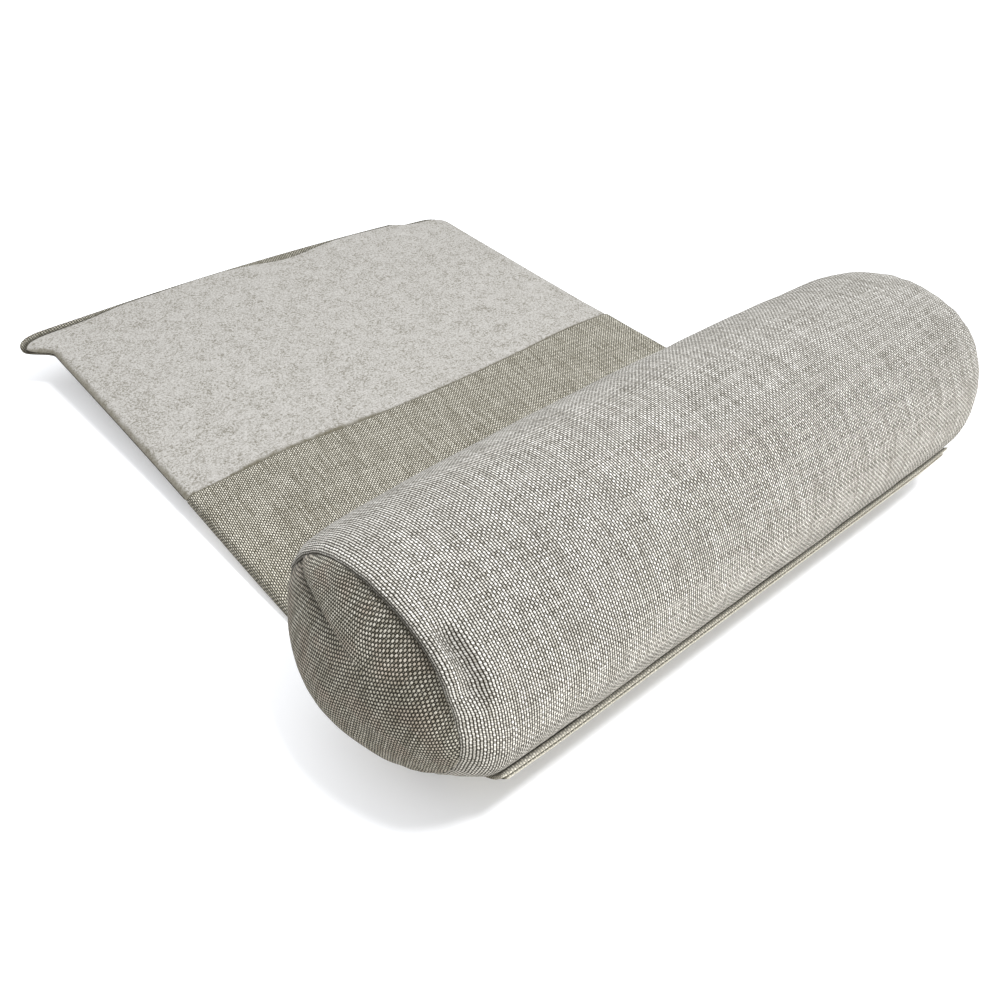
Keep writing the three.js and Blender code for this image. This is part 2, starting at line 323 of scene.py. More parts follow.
def band(value, sets_in, is_over):
    """1 inside a band of values and 0 outside it, with a smooth start and end."""
    return smoothstep(value, *sets_in) * (1 - smoothstep(value, *is_over))


def lerp(start, end, share):
    return start + (end - start) * share


def bell(value, middle, reach):
    return np.exp(-(((value - middle) / reach) ** 2))


def lumps(points, layers):
    """A soft unevenness at each point, the sum of layers that each have a rise, a size and a seed."""
    total = np.zeros(len(points))
    for rise, size, seed in layers:
        offset = Vector((seed, 2.3 * seed, -1.7 * seed))
        total += rise * np.array([noise.noise(Vector(p) / size + offset) for p in points])
    return total


def roll_section(place):
    """The bolster's oval at places from -1 to 1, blended smoothly between the table's rows."""
    places = ROLL_SECTIONS[:, 0]
    upper = np.clip(np.searchsorted(places, place), 1, len(places) - 1)
    start, end = ROLL_SECTIONS[upper - 1], ROLL_SECTIONS[upper]
    before = ROLL_SECTIONS[np.maximum(0, upper - 2)]
    after = ROLL_SECTIONS[np.minimum(len(places) - 1, upper + 1)]
    step = end[..., 0] - start[..., 0]
    t = np.clip((place - start[..., 0]) / step, 0, 1)
    section = {}
    for key, name in enumerate(SECTION_COLUMNS):
        slope_in = step * (end[..., key] - before[..., key]) / (end[..., 0] - before[..., 0])
        slope_out = step * (after[..., key] - start[..., key]) / (after[..., 0] - start[..., 0])
        section[name] = (
            (1 + 2 * t) * (1 - t) ** 2 * start[..., key] + t * (1 - t) ** 2 * slope_in
            + t * t * (3 - 2 * t) * end[..., key] + t * t * (t - 1) * slope_out
        )
    return section


def oval_point(section, angle_deg, grow=0.0):
    """The (y, z) of an oval at an angle: 0 is to the flap, 90 up and 180 to the front."""
    angle = np.radians(angle_deg)
    lean = np.radians(-section["lean_deg"])
    across = (section["half_width"] + grow) * np.cos(angle)
    up = (section["half_height"] + grow) * np.sin(angle)
    return (
        section["centre_y"] + across * np.cos(lean) - up * np.sin(lean),
        section["centre_z"] + across * np.sin(lean) + up * np.cos(lean),
    )


def ramp_height(y):
    past = y - RAMP_START_Y
    blend = RAMP_SLOPE * (past + RAMP_BLEND) ** 2 / (4 * RAMP_BLEND)
    return np.where(past <= -RAMP_BLEND, 0, np.where(past >= RAMP_BLEND, RAMP_SLOPE * past, blend))


def seam_y(x):
    """Where the felt's seam lies. Its line has soft waves, each given as (x, reach, rise)."""
    return SEAM_Y + sum(rise * bell(x, middle, reach) for middle, reach, rise in SEAM_WAVES)


def mouth_y(x):
    bow = MOUTH_BOW * ((x - MOUTH_BOW_MIDDLE) / MOUTH_BOW_REACH) ** 2
    step = MOUTH_STEP * smoothstep(x, MOUTH_STEP_X - MOUTH_STEP_REACH,
                                   MOUTH_STEP_X + MOUTH_STEP_REACH)
    past = np.maximum(0, CORNER_RADIUS - (FLAP_HALF_WIDTH - np.abs(x)))
    corner = CORNER_RADIUS - np.sqrt(np.maximum(CORNER_RADIUS ** 2 - past ** 2, 0))
    return MOUTH_Y - bow - step - corner


def sideways(x, y):
    """The sides bulge a little behind the bolster, and the left mouth corner flares like an ear."""
    bulge = FLAP_BULGE * bell(y, FLAP_BULGE_Y, FLAP_BULGE_Y) * x / FLAP_HALF_WIDTH
    at_left = smoothstep(-x, FLAP_HALF_WIDTH - EAR_INNER, FLAP_HALF_WIDTH)
    return x + bulge - EAR_FLARE * at_left * smoothstep(y, EAR_START_Y, EAR_FULL_Y)


def rounded(inside, reach):
    """The share of its thickness that cloth has at a distance inside a rounded edge."""
    t = np.clip(1 - inside / reach, 0, 1)
    return np.sqrt(1 - t * t)


def at_ends(length, total, near_round, far_round):
    """The share of its thickness that cloth has along its length, rounded at both ends."""
    return np.minimum(rounded(length, near_round), rounded(total - length, far_round))


def edge_arc(inside, reach):
    """How far along a rounded edge's curve a point lies, as its flat place inside the edge."""
    over = np.clip(1 - inside / reach, 0, 1)
    return np.maximum(inside, reach) - reach * np.arcsin(over)


def lip_section(x, travel):
    """The oval that the cloth follows under the bolster, drawn in towards the flap's sides."""
    middle, here = roll_section(np.zeros_like(x)), roll_section(x / ROLL_HALF_LENGTH)
    below = smoothstep(travel, 0, LIP_SHARE / 2)
    follow = smoothstep(np.abs(x), LIP_DRAWN_IN_FROM, FLAP_HALF_WIDTH) * lerp(*LIP_DRAWN_IN, below)
    return {name: lerp(middle[name], here[name], follow) for name in SECTION_COLUMNS}


def under_roll(x, travel, height):
    """The cloth from the lip to the seam, at a height above the flap's underside."""
    section = lip_section(x, travel)
    angle = lerp(LIP_ANGLE, FLOOR_ANGLE, np.clip(travel / LIP_SHARE, 0, 1))
    lip_y, lip_z = oval_point(section, angle, ROLL_BOTTOM - height)
    landing = smoothstep(travel, LIP_SHARE / 2, LIP_SHARE)
    lip_z = lerp(np.maximum(lip_z, height), height, landing)
    past = np.clip((travel - LIP_SHARE) / (1 - LIP_SHARE), 0, 1)
    floor_y = lerp(lip_y, seam_y(x), past)
    on_lip = travel < LIP_SHARE
    y = np.where(on_lip, lip_y, floor_y)
    z = np.where(on_lip, lip_z, ramp_height(floor_y) + height)
    return np.stack([sideways(x, y), y, z], axis=-1)


def grid_object(name, across, along, shape, joined=False):
    """A cut of cloth. A flat grid is made with these steps across and along, and shape says, for each
    point's two places, where the point goes, which flat place its UV keeps, and how dark the cloth is
    painted there: up to 1 for painted shade in a seam or crease, and below 0 for painted light, where
    it is paler."""
    bm = bmesh.new()
    bmesh.ops.create_grid(bm, x_segments=len(across) - 1, y_segments=len(along) - 1, size=0.5)
    flat = np.array([v.co for v in bm.verts])
    column = np.rint((flat[:, 0] + 0.5) * (len(across) - 1)).astype(int)
    row = np.rint((flat[:, 1] + 0.5) * (len(along) - 1)).astype(int)
    points, cut, dark = shape(np.asarray(across, float)[column], np.asarray(along, float)[row])
    uv = bm.loops.layers.uv.new("cut")
    darkness = bm.verts.layers.float.new("dark")
    for face in bm.faces:
        for loop in face.loops:
            loop[uv].uv = cut[loop.vert.index] * MM
    for vert, point, value in zip(bm.verts, points * MM, dark):
        vert.co = point
        vert[darkness] = value
    if joined:
        bmesh.ops.remove_doubles(bm, verts=bm.verts, dist=MERGE_WITHIN)
    return finished(name, bm)


def finished(name, bm):
    bmesh.ops.recalc_face_normals(bm, faces=bm.faces)
    for face in bm.faces:
        face.smooth = True
    mesh = bpy.data.meshes.new(name)
    bm.to_mesh(mesh)
    bm.free()
    piece = bpy.data.objects.new(name, mesh)
    bpy.context.scene.collection.objects.link(piece)
    return piece


def close_ends(piece):
    """Fills the open rims that lie behind the end panels."""
    bm = bmesh.new()
    bm.from_mesh(piece.data)
    rims = [edge for edge in bm.edges if edge.is_boundary]
    bmesh.ops.holes_fill(bm, edges=rims, sides=0)
    bmesh.ops.recalc_face_normals(bm, faces=bm.faces)
    bm.to_mesh(piece.data)
    bm.free()


def arc_length(points):
    steps = np.linalg.norm(np.diff(points, axis=0), axis=-1)
    return np.concatenate([[0], np.cumsum(steps)])


def roll_wrap():
    """The bolster's wrap. Past the straight part its stations count on: one for the turn, and one for
    the hem."""
    even = np.linspace(-1, 1, ROLL_STATIONS)
    crowded = lerp(even, np.sin(even * math.pi / 2), STATION_CROWDING) * WRAP_STRAIGHT
    turn = np.linspace(0, 1, WRAP_TURN_STEPS + 1)[1:]
    hem = np.linspace(1, 2, WRAP_HEM_STEPS + 1)[1:]
    ends = WRAP_STRAIGHT + np.concatenate([turn, hem])
    along = np.concatenate([-ends[::-1], crowded, ends])
    around = np.linspace(0, 360, ROLL_AROUND + 1)
    middle = roll_section(np.zeros(len(around)))
    round_cut = arc_length(np.stack(oval_point(middle, around), axis=-1))

    def shape(angle, station):
        straight = np.clip(station, -WRAP_STRAIGHT, WRAP_STRAIGHT)
        past = np.abs(station - straight)
        side = np.sign(station)
        quarter = np.clip(past, 0, 1) * math.pi / 2
        on_hem = np.clip(past - 1, 0, 1)
        inward = WRAP_TURN_IN * (1 - np.cos(quarter)) + WRAP_HEM * on_hem
        outward = WRAP_TURN_IN * np.sin(quarter) - WRAP_HEM_BACK * on_hem
        x = straight + side * outward
        points = puckered(x, angle, inward)
        cut = np.stack([x + side * inward, np.interp(angle, around, round_cut)], axis=-1)
        # Painted shade in the end seams' turned-in edge and in the creases.
        seam_shade = SEAM_DARKNESS * seam_strength(angle) * smoothstep(past, *WRAP_SEAM_SHADE)
        crease_shade = CREASE_DARKNESS * np.maximum(-crease_rises(x, angle), 0).sum(axis=0)
        return points, cut, seam_shade + crease_shade

    piece = grid_object("bolster_wrap", around, along, shape, joined=True)
    close_ends(piece)
    return piece


def wrap_section(x, angle):
    """The wrap's oval. Low at the front it fills out onto the lip, which it presses on."""
    here = roll_section(np.clip(x / ROLL_HALF_LENGTH, -1, 1))
    share = np.clip((angle - LIP_ANGLE) / (FLOOR_ANGLE - LIP_ANGLE), 0, 1)
    lip = lip_section(np.clip(x, -FLAP_HALF_WIDTH, FLAP_HALF_WIDTH), share * LIP_SHARE)
    follow = band(angle, *LIP_PRESS_BAND) * (1 - smoothstep(np.abs(x), *LIP_PRESS_FADES_X))
    return {name: lerp(here[name], lip[name], follow) for name in SECTION_COLUMNS}


def seam_strength(angle):
    """The end seams are drawn in hard above and behind, and softly low at the front."""
    return 1 - SEAM_SOFTNESS * band(angle, *SEAM_SOFT_BAND)


def end_drop(angle):
    """How much the roll's ends are rounded off low at the front."""
    return END_DROP * band(angle, *END_DROP_BAND)


def crease_rises(x, angle):
    """How far each crease or ridge lifts the wrap at each point."""
    return np.array([
        rise * bell(x, place_x, reach_x) * bell(angle, place_angle, reach_angle)
        for place_x, place_angle, reach_x, reach_angle, rise in WRAP_CREASES
    ])


def on_ring(angle_deg, beside):
    """Places on a ring, so that lumps found there run straight in from an end seam."""
    turn = np.radians(angle_deg)
    return np.stack([RING_RADIUS * np.cos(turn), RING_RADIUS * np.sin(turn), beside], axis=-1)


def puckered(x, angle, inward):
    """The wrap's points, this far inside its oval. They have soft lumps of the filling, creases, and
    puckers that run in from the end seams."""
    section = wrap_section(x, angle)
    y, z = oval_point(section, angle)
    points = np.stack([x, y, z], axis=-1)
    near_seam = np.exp(-(ROLL_HALF_LENGTH - np.abs(x)) / PUCKER_REACH)
    pucker = lumps(on_ring(angle, PUCKERS_BESIDE * np.sign(x)), WRAP_PUCKERS) * near_seam
    near_end = smoothstep(np.abs(x), ROLL_HALF_LENGTH - END_DROP_REACH, ROLL_HALF_LENGTH)
    grow = lumps(points, WRAP_LUMPS) + pucker - inward - end_drop(angle) * near_end
    grow = grow + crease_rises(x, angle).sum(axis=0)
    y, z = oval_point(section, angle, grow)
    return np.stack([x, y, np.maximum(z, ROLL_BOTTOM)], axis=-1)


def below_fold(y, z):
    """How far a point of the left panel lies below the pleat's edge."""
    return np.interp(y, FOLD_LINE[:, 0], FOLD_LINE[:, 1]) - z


def fold_depth(y, z):
    """How far the panel is sunk below its pleat's edge, or raised as the pleat's rim."""
    below = below_fold(y, z)
    sunk = FOLD_SUNK * smoothstep(below, *FOLD_EDGE) * np.exp(-np.maximum(below, 0) / FOLD_REACH)
    return smoothstep(y, *FOLD_STRENGTH_Y) * (sunk - FOLD_RIM * bell(below, *FOLD_RIM_AT))


def fold_darkness(y, z):
    """The pleat's crease lies in its own shade, just below the pleat's edge."""
    return FOLD_DARKNESS * smoothstep(y, *FOLD_SHADE_Y) * band(below_fold(y, z), *FOLD_SHADE_BAND)


def end_panel(name, side, depth, has_fold):
    """An end panel: a dome from its rim, sunk inside the wrap's turned-in end, to its tip."""
    rim = roll_section(np.array(float(side)))
    base = ROLL_HALF_LENGTH - PANEL_SUNK
    around = np.linspace(0, 360, PANEL_AROUND + 1)
    turns = np.linspace(0, math.pi / 2, PANEL_RINGS)

    def shape(angle, turn):
        shrink = np.cos(turn) ** (2 / PANEL_FULLNESS)
        out = (depth + PANEL_SUNK) * np.sin(turn) ** (2 / PANEL_FULLNESS)
        inset = PANEL_INSET * lerp(PANEL_INSET_SOFT, 1, seam_strength(angle))
        rim_y, rim_z = oval_point(rim, angle, -inset - end_drop(angle))
        y = lerp(float(rim["centre_y"]), rim_y, shrink)
        z = np.maximum(lerp(float(rim["centre_z"]), rim_z, shrink), ROLL_BOTTOM)
        points = np.stack([np.full_like(y, side * base), y, z], axis=-1)
        if has_fold:
            flattened = PANEL_FLATTENED * band(angle, *PANEL_FLAT_BAND) * bell(shrink, *PANEL_FLAT_AT)
            out = out * (1 - flattened)
            towards_belly = np.maximum(np.cos(np.radians(angle - BELLY_ANGLE)), 0) ** BELLY_NARROWING
            # The factor 2.6 brings the curve's highest value to 1.
            out = out + BELLY * towards_belly * 2.6 * shrink * (1 - shrink * shrink)
        gathers = lumps(on_ring(angle, np.full_like(y, GATHERS_BESIDE * side)), PANEL_GATHERS)
        uneven = lumps(points, PANEL_LUMPS) + gathers * bell(shrink, *PANEL_GATHERS_AT)
        surface = out + uneven * smoothstep(out, 0, PANEL_FACE_FROM)
        dark = seam_strength(angle) * (1 - smoothstep(out, *PANEL_SEAM_SHADE))
        if has_fold:
            surface = surface - fold_depth(y, z) * smoothstep(out, 0, FOLD_START_OUT)
            # Painted shade beside the upper seam, where the turned-in rim shades the panel.
            mask = band(angle, *PANEL_SHADE_BAND) * bell(shrink, *PANEL_SHADE_AT)
            dark = np.maximum(dark, PANEL_SHADE_DARKNESS * mask)
            dark = np.maximum(dark, fold_darkness(y, z))
        points[:, 0] = side * (base + surface)
        return points, panel_cut(y, z, rim, shrink, has_fold), dark

    piece = grid_object(name, around, turns, shape, joined=True)
    close_ends(piece)
    return piece


def panel_cut(y, z, rim, shrink, has_fold):
    """The flat place of a panel's point. Its grain is turned, and near the pleat the threads crowd and
    follow its edge."""
    dome = 1 + DOME_TAKE_UP * shrink ** 4
    flat_y = (y - float(rim["centre_y"])) * dome
    flat_z = (z - float(rim["centre_z"])) * dome
    grain = math.radians(GRAIN_DEG)
    across = flat_y * math.cos(grain) + flat_z * math.sin(grain)
    up = flat_z * math.cos(grain) - flat_y * math.sin(grain)
    if has_fold:
        above = -below_fold(y, z)
        from_top = y - FOLD_TOP_Y
        gathered = GATHERED * np.exp(-np.maximum(above, 0) / GATHERED_REACH) * (above > 0)
        level = FOLLOW_SLOPE * from_top * np.exp(-np.abs(above) / FOLLOW_REACH)
        lobe = LOBE_SLOPE * from_top * np.exp(-np.maximum(-above, 0) / LOBE_REACH) * (above < 0)
        up = up + smoothstep(y, *GATHER_STRENGTH_Y) * (level - gathered - lobe)
    return np.stack([across, up], axis=-1)


def flap_columns():
    """Places across the flap, closer together at its sides."""
    inner = FLAP_HALF_WIDTH - SIDE_INSETS[-1]
    steps = int(round(2 * inner / COLUMN_STEP))
    middle = np.linspace(-inner, inner, steps + 1)
    edge = FLAP_HALF_WIDTH - np.array(SIDE_INSETS[:-1])
    return np.concatenate([-edge, middle, edge[::-1]])


def rows(length):
    """Places along a cut of cloth, closer together at its two ends."""
    inner = END_INSETS[-1]
    steps = int(round((length - 2 * inner) / ROW_STEP))
    ends = np.array(END_INSETS[:-1])
    return np.concatenate([ends, np.linspace(inner, length - inner, steps + 1), length - ends[::-1]])


def two_sided(name, along, top, bottom):
    """A sheet with an upper and an under face that meet along its rounded edges."""
    over = grid_object(name, flap_columns(), along, top)
    under = grid_object(name + "_under", flap_columns(), along, bottom)
    bm = bmesh.new()
    bm.from_mesh(under.data)
    bmesh.ops.reverse_faces(bm, faces=bm.faces)
    bm.from_mesh(over.data)
    bmesh.ops.remove_doubles(bm, verts=bm.verts, dist=MERGE_WITHIN)
    bpy.data.objects.remove(under)
    bpy.data.objects.remove(over)
    return finished(name, bm)


def lip_length():
    """The cloth's way from the lip to the seam, down the middle: travel from 0 to 1, and its length."""
    travel = np.linspace(0, 1, LIP_SAMPLES)
    return travel, arc_length(under_roll(np.zeros_like(travel), travel, ON_BACK))


LIP_TRAVEL, LIP_LENGTHS = lip_length()
LIP_TO_SEAM = LIP_LENGTHS[-1]


def travel_at(length):
    return np.interp(length, LIP_LENGTHS, LIP_TRAVEL)


def strip_top():
    """The woven strip, from the lip under the bolster to the felt's seam. Its lip and its sides are
    turned down over the back panel's edge."""

    def shape(is_top):
        def place(x, length):
            travel = travel_at(length)
            y = under_roll(x, travel, np.full_like(x, ON_BACK))[:, 1]
            swell = smoothstep(y, *STRIP_SWELL)
            inside = FLAP_HALF_WIDTH - np.abs(x)
            hem = 1 - rounded(inside, HEM_REACH) * rounded(length, HEM_REACH)
            under = lerp(ON_BACK, HEM_HEIGHT, hem)
            on_cloth = np.stack([x, y, np.zeros_like(x)], axis=-1)
            uneven = lumps(on_cloth, STRIP_LUMPS) * (y > STRIP_LUMPS_FROM_Y)
            over = ON_BACK + lerp(STRIP_THIN, STRIP_THICK, swell) + uneven
            share = rounded(inside, SIDE_ROUND) * at_ends(length, LIP_TO_SEAM, LIP_ROUND, SEAM_ROUND)
            middle = lerp(under, over, lerp(EVEN_EDGE, TURNED_DOWN_EDGE, swell))
            height = lerp(middle, over if is_top else under, share)
            points = under_roll(x, travel, height)
            spread = np.sign(x) * (FLAP_HALF_WIDTH - edge_arc(inside, SIDE_ROUND)) if is_top else x
            along = edge_arc(length, LIP_ROUND) if is_top else length
            flat = np.stack([spread * (1 + STRIP_SPREAD * swell) - STRIP_SKEW * along, along], axis=-1)
            shade = STRIP_SIDE_SHADE * (1 - smoothstep(inside, *STRIP_SIDE_SHADE_IN)) * swell
            # Painted light on the lip, which lies in the bolster's shade.
            pale = LIP_PAINTED_LIGHT * (1 - smoothstep(length, *LIP_PAINTED_LIGHT_ALONG))
            return points, flat, shade - pale
        return place

    return two_sided("woven_strip", rows(LIP_TO_SEAM), shape(True), shape(False))


def flap_back():
    """The back panel, from the lip under the bolster to the pocket's mouth."""
    total = LIP_TO_SEAM + MOUTH_Y - SEAM_Y
    freed_from, freed_to = LIP_TO_SEAM + BACK_FREED[0], LIP_TO_SEAM + BACK_FREED[1]

    def shape(is_top):
        def place(x, length):
            under_strip = 1 - smoothstep(length, freed_from, freed_to)
            x = x * (1 - BACK_SETBACK / FLAP_HALF_WIDTH * under_strip)
            length = BACK_SETBACK + length * (total - BACK_SETBACK) / total
            inside = FLAP_HALF_WIDTH - np.abs(x) - BACK_SETBACK * under_strip
            share = rounded(inside, BACK_SIDE_ROUND) * at_ends(
                length - BACK_SETBACK, total - BACK_SETBACK, BACK_END_ROUND, BACK_END_ROUND)
            height = lerp(EVEN_EDGE * BACK_THICKNESS, BACK_THICKNESS if is_top else 0.0, share)
            near = under_roll(x, travel_at(np.minimum(length, LIP_TO_SEAM)), height)
            past = np.clip((length - LIP_TO_SEAM) / (total - LIP_TO_SEAM), 0, 1)
            y = lerp(seam_y(x), mouth_y(x), past)
            far = np.stack([sideways(x, y), y, ramp_height(y) + height], axis=-1)
            is_far = length > LIP_TO_SEAM
            points = np.where(is_far[:, None], far, near)
            in_pocket = MOUTH_SHADE * (1 - smoothstep(y - felt_end(x), *MOUTH_SHADE_PAST)) * is_far
            shade = np.maximum(in_pocket, BACK_EDGE_SHADE * (1 - share))
            # Painted light on the lip, as on the strip's.
            pale = BACK_LIP_PAINTED_LIGHT * (1 - smoothstep(length, *BACK_LIP_PAINTED_LIGHT_ALONG))
            return points, np.stack([x, length], axis=-1), shade - pale
        return place

    return two_sided("back_panel", rows(total), shape(True), shape(False))


def felt_end(x):
    """Where the felt ends along y. It is drawn back at its notch, and a little by the ear."""
    notch_x, notch_reach, notch = FELT_NOTCH
    drawn_back = notch * bell(x, notch_x, notch_reach) + EAR_NOTCH * smoothstep(-x, *EAR_NOTCH_X)
    return mouth_y(x) - FELT_SETBACK - drawn_back


def pocket_front():
    """The felt pocket front, from its seam to the pocket's mouth."""
    total = MOUTH_Y - SEAM_Y

    def shape(is_top):
        def place(x, length):
            start = seam_y(x) + SEAM_GAP
            y = lerp(start, felt_end(x), length / total)
            middle = 1 - (x / FLAP_HALF_WIDTH) ** 2
            mask = smoothstep(y, start, start + FELT_SEAM_BLEND)
            lift = lerp(FELT_SEAM_LIFT, FELT_SIDE_LIFT + FELT_CROWN * middle, mask)
            inside = FLAP_HALF_WIDTH - np.abs(x)
            side = rounded(inside, FELT_SIDE_ROUND)
            on_cloth = np.stack([x, y, np.zeros_like(x)], axis=-1)
            under = lift * side
            over = (lift + FELT_THICKNESS + lumps(on_cloth, FELT_LUMPS)) * side
            share = side * at_ends(length, total, FELT_SEAM_ROUND, FELT_MOUTH_ROUND)
            height = lerp(lerp(under, over, TURNED_DOWN_EDGE), over if is_top else under, share)
            points = np.stack([sideways(x, y), y, ramp_height(y) + ON_BACK + height], axis=-1)
            ragged = lumps(on_cloth, FELT_RAGS)
            # Painted shade on the turned-down sides and beside the seam.
            at_side = FELT_SIDE_DARKNESS * (1 - smoothstep(inside + ragged, *FELT_SIDE_SHADE_IN))
            frayed = band(x, *FELT_FRAYED_BAND)
            seam_from, seam_to = FELT_SEAM_SHADE
            at_seam = 1 - smoothstep(length + ragged * frayed, seam_from,
                                     seam_to + FELT_FRAYED_SHADE * frayed)
            return points, np.stack([x, length], axis=-1), np.maximum(at_side, at_seam)
        return place

    return two_sided("felt_pocket", rows(total), shape(True), shape(False))


def linear(hex_colour):
    """An sRGB hex colour as the linear values that a shader takes."""
    channels = [int(hex_colour[i:i + 2], 16) / 255 for i in (1, 3, 5)]
    return [c / 12.92 if c <= 0.04045 else ((c + 0.055) / 1.055) ** 2.4 for c in channels] + [1.0]


def feed(node, inputs):
    """Gives each of a node's sockets, by name or place, a value, or a link from another node: from the
    output that is given, or from a node's first one."""
    for key, value in inputs.items():
        if isinstance(value, bpy.types.Node):
            value = value.outputs[0]
        if isinstance(value, bpy.types.NodeSocket):
            node.id_data.links.new(value, node.inputs[key])
        else:
            node.inputs[key].default_value = value


def add_node(tree, kind, settings=None, inputs=None):
    """Adds a shader node with its settings and links."""
    node = tree.nodes.new("ShaderNode" + kind)
    for key, value in (settings or {}).items():
        setattr(node, key, value)
    feed(node, inputs or {})
    return node


def new_material(name):
    material = bpy.data.materials.new(name)
    material.use_nodes = True
    return material, material.node_tree, material.node_tree.nodes["Principled BSDF"]


# Settings and places of sockets that many nodes share: a mix of colours takes its share and its two
# colours at 0, 6 and 7 and gives its third output, and a range takes its value and limits from 0 on.
COLOUR_MIX = {"data_type": "RGBA"}
NUMBER_MIX = {"data_type": "FLOAT"}
SMOOTH_RANGE = {"interpolation_type": "SMOOTHSTEP"}
MULTIPLY = {"operation": "MULTIPLY"}
MULTIPLY_ADD = {"operation": "MULTIPLY_ADD"}
MIXED_COLOUR = 2


def weave_heights(tree, threads, low_float, narrow):
    """Plain weave from counts of threads: each yarn goes over one and under one. The warp's floats
    stand where both waves have one sign. They are narrow across and run long, and the weft's floats lie
    lower between them. Gives whether the warp is on top, and the height from 0 to 1."""
    half_turns = add_node(tree, "VectorMath", {"operation": "SCALE"}, {0: threads, "Scale": math.pi})
    sines = add_node(tree, "VectorMath", {"operation": "SINE"}, {0: half_turns})
    waves = add_node(tree, "SeparateXYZ", {}, {0: sines}).outputs
    humps = add_node(tree, "VectorMath", {"operation": "ABSOLUTE"}, {0: sines})
    ridges = add_node(tree, "SeparateXYZ", {}, {0: humps}).outputs
    across, along = ridges["X"], ridges["Y"]
    signs = add_node(tree, "Math", MULTIPLY, {0: waves["X"], 1: waves["Y"]})
    is_warp = add_node(tree, "Math", {"operation": "GREATER_THAN"}, {0: signs, 1: 0.0})
    warp_row = add_node(tree, "Math", MULTIPLY_ADD, {0: along, 1: 1 - WARP_END, 2: WARP_END})
    narrowed = add_node(tree, "Math", {"operation": "POWER"}, {0: across, 1: narrow})
    warp_float = add_node(tree, "Math", MULTIPLY, {0: narrowed, 1: warp_row})
    weft_row = add_node(tree, "Math", MULTIPLY_ADD, {0: along, 1: 1 - WEFT_END, 2: WEFT_END})
    weft_float = add_node(tree, "Math", MULTIPLY, {0: across, 1: weft_row})
    lowered = add_node(tree, "Math", MULTIPLY, {0: weft_float, 1: low_float})
    return is_warp, add_node(tree, "Mix", NUMBER_MIX, {0: is_warp, 2: lowered, 3: warp_float})


def yarn_tones(tree, place, cells, is_warp):
    """Each yarn has a tone of its own, that changes slowly along it."""
    apart = add_node(tree, "VectorMath", {"operation": "SCALE"}, {0: cells, "Scale": YARN_APART})
    across = add_node(tree, "SeparateXYZ", {}, {0: apart}).outputs
    runs = add_node(tree, "VectorMath", {"operation": "DIVIDE"}, {
        0: place, 1: (WEFT_TONE_RUN * MM, WARP_TONE_RUN * MM, 1.0)})
    along = add_node(tree, "SeparateXYZ", {}, {0: runs}).outputs
    on_warp = add_node(tree, "CombineXYZ", {}, {"X": across["X"], "Y": along["Y"]})
    on_weft = add_node(tree, "CombineXYZ", {}, {"X": along["X"], "Y": across["Y"], "Z": WEFT_APART})
    return add_node(tree, "Mix", NUMBER_MIX, {
        0: is_warp,
        2: add_node(tree, "TexNoise", {}, {"Vector": on_weft, "Scale": 1.0, "Detail": 1.0}),
        3: add_node(tree, "TexNoise", {}, {"Vector": on_warp, "Scale": 1.0, "Detail": 1.0}),
    })


